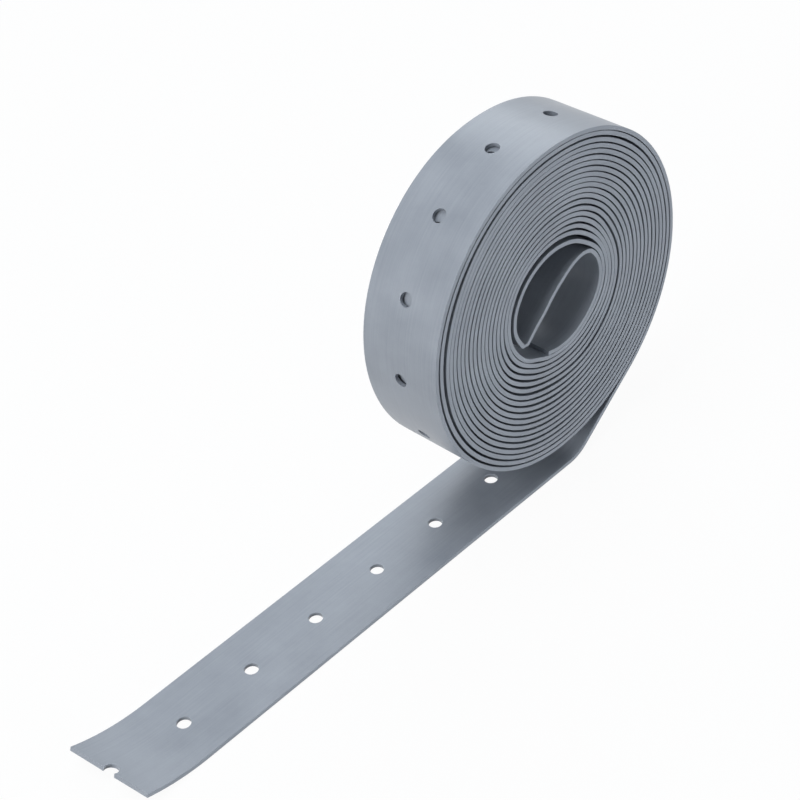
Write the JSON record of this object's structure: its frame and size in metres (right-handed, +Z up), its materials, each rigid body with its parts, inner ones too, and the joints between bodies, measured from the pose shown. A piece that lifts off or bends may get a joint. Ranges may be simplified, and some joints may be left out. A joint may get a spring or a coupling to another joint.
{
  "type": "perforated plastic hanger strap",
  "caption": "Thin flat plastic strap with a row of punched holes, wound into a loose roll that stands on its rim with its outer end run out along the floor.",
  "frame": {"origin": "on the floor, at the middle of the footprint", "axes": "+Z up, +Y along the run-out outer end from its tip towards the roll, +X along the roll's axis and across the strap's width"},
  "size_m": [0.019, 0.1564, 0.0797],
  "materials": {
    "plastic": "satin grey, slightly bluish"
  },
  "bodies": {
    "root": {"hanger_strap": "plastic"}
  },
  "joints": []
}
